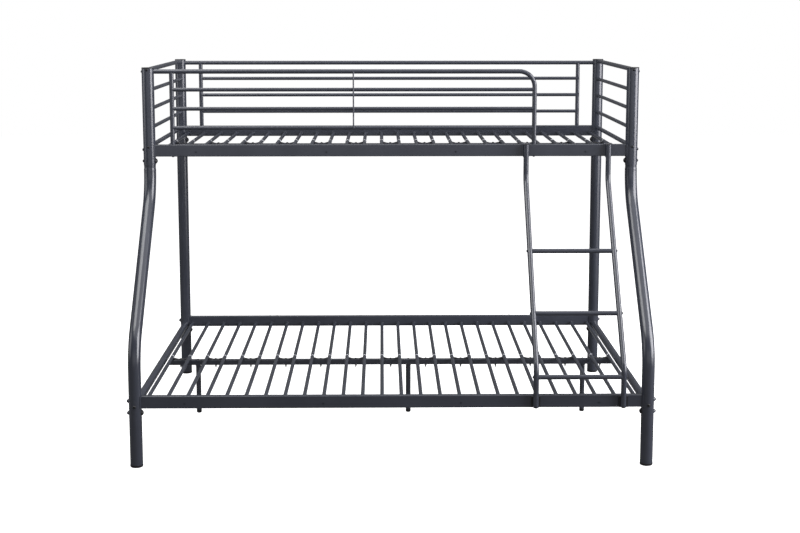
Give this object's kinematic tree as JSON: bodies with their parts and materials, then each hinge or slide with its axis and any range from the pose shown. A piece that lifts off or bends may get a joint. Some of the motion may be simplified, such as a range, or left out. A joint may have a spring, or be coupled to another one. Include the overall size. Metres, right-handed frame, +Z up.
{
  "type": "metal bunk bed",
  "caption": "Metal bunk bed with a narrow upper deck over a wide lower deck, legs that curve out to the front, tube slats, guard rails and a ladder that hooks on and lifts off.",
  "frame": {"origin": "centre of the bounding box on the floor", "axes": "+X along the bed's length, towards the end with the ladder seen from the front; +Y towards the rear long side; +Z up"},
  "size_m": [2.097, 1.534, 1.56],
  "materials": {
    "frame": "satin dark grey powder coat",
    "black_plastic": "moulded, satin",
    "slat_clips": "moulded, satin",
    "white_plastic": "moulded, satin",
    "fasteners": "black coated steel"
  },
  "bodies": {
    "frame": {"leg_front_left": "frame", "leg_front_right": "frame", "leg_rear_left": "frame", "leg_rear_right": "frame", "foot_caps": "black_plastic", "upper_post_front_left": "frame", "upper_post_front_right": "frame", "upper_post_rear_left": "frame", "upper_post_rear_right": "frame", "post_caps": "black_plastic", "upper_rail_front": "frame", "upper_rail_rear": "frame", "lower_rail_front": "frame", "lower_rail_rear": "frame", "rail_saddles": "frame", "rail_bolts": "fasteners", "cross_bolts": "fasteners", "nut_caps": "black_plastic", "bolt_washers": "frame", "lower_end_rail_left": "frame", "lower_end_rail_right": "frame", "end_rail_bolts": "fasteners", "end_rail_plugs": "fasteners", "end_top_tubes": "frame", "end_rungs": "frame", "end_deck_tubes": "frame", "end_panel_fixings": "fasteners", "upper_slats_front": "frame", "upper_slats_rear": "frame", "lower_slats_front": "frame", "lower_slats_rear": "frame", "slat_rings": "white_plastic", "upper_beam": "frame", "lower_beam": "frame", "upper_slat_clips": "slat_clips", "lower_slat_clips": "slat_clips", "clip_screws": "fasteners", "clip_nuts": "fasteners", "support_legs": "frame", "support_feet": "black_plastic", "support_brackets": "frame", "support_screws": "fasteners", "guard_front_tube": "frame", "guard_posts": "frame", "guard_front_bars": "frame", "guard_front_rod": "frame", "guard_rear_tube": "frame", "guard_rear_bars": "frame", "guard_bolts": "fasteners", "guard_end_bolts": "fasteners", "guard_plugs": "fasteners", "hole_plugs": "black_plastic"},
    "ladder": {"ladder_rail_left": "frame", "ladder_rail_right": "frame", "ladder_rungs": "frame", "ladder_hooks": "frame", "ladder_pads": "black_plastic", "ladder_bolts": "fasteners", "ladder_plugs": "fasteners", "ladder_caps": "black_plastic"}
  },
  "joints": [
    {"name": "ladder_lift", "type": "slide", "parent": "frame", "child": "ladder", "axis": [0, 0, 1], "range_m": [0, 0.055]}
  ]
}
